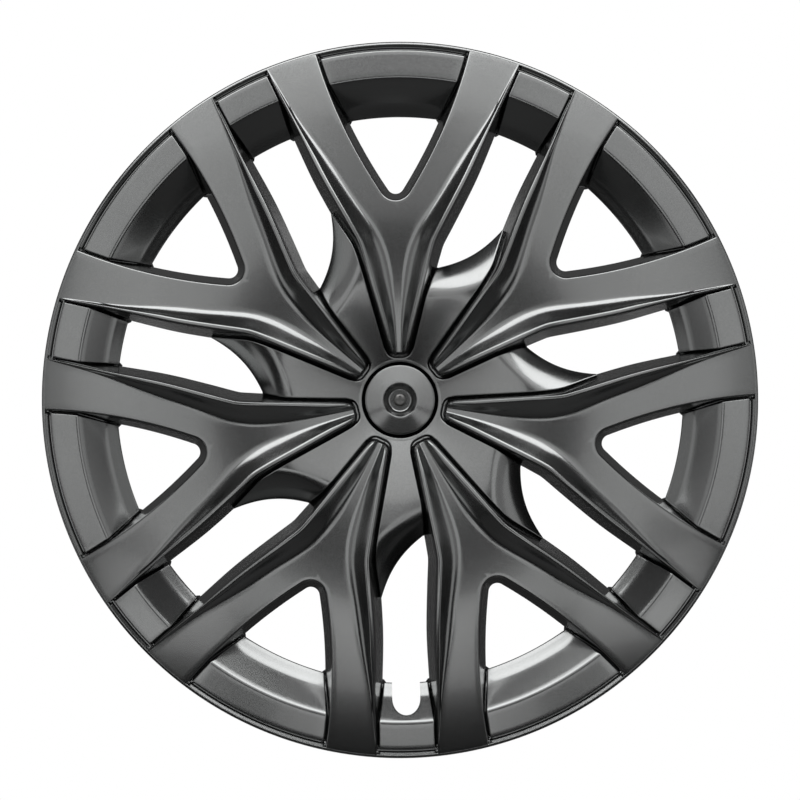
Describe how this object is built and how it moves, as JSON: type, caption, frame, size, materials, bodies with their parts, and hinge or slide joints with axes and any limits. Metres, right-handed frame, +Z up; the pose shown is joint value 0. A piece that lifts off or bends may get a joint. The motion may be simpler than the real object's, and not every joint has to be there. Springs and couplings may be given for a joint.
{
  "type": "wheel cover",
  "caption": "Round push-on wheel cover with forked spokes, open windows, a scooped hub web, a screwed centre cap and a spring wire ring behind.",
  "frame": {"origin": "on the wheel axis, in the plane where the rear edge of the outer lip rests on the wheel rim", "axes": "+Y along the wheel axis into the wheel, so the face looks along -Y; +Z up through one spoke, with the valve notch at -Z; +X to the right as seen from the front"},
  "size_m": [0.445, 0.0544, 0.445],
  "materials": {
    "cover_paint": "satin metallic gunmetal paint on a plastic moulding",
    "cap_paint": "satin metallic gunmetal paint on a plastic moulding",
    "screw_steel": "dark zinc plated steel",
    "ring_steel": "plain spring steel wire"
  },
  "bodies": {
    "root": {"cover_body": "cover_paint", "centre_cap": "cap_paint", "cap_screw": "screw_steel", "spring_ring": "ring_steel"}
  },
  "joints": []
}
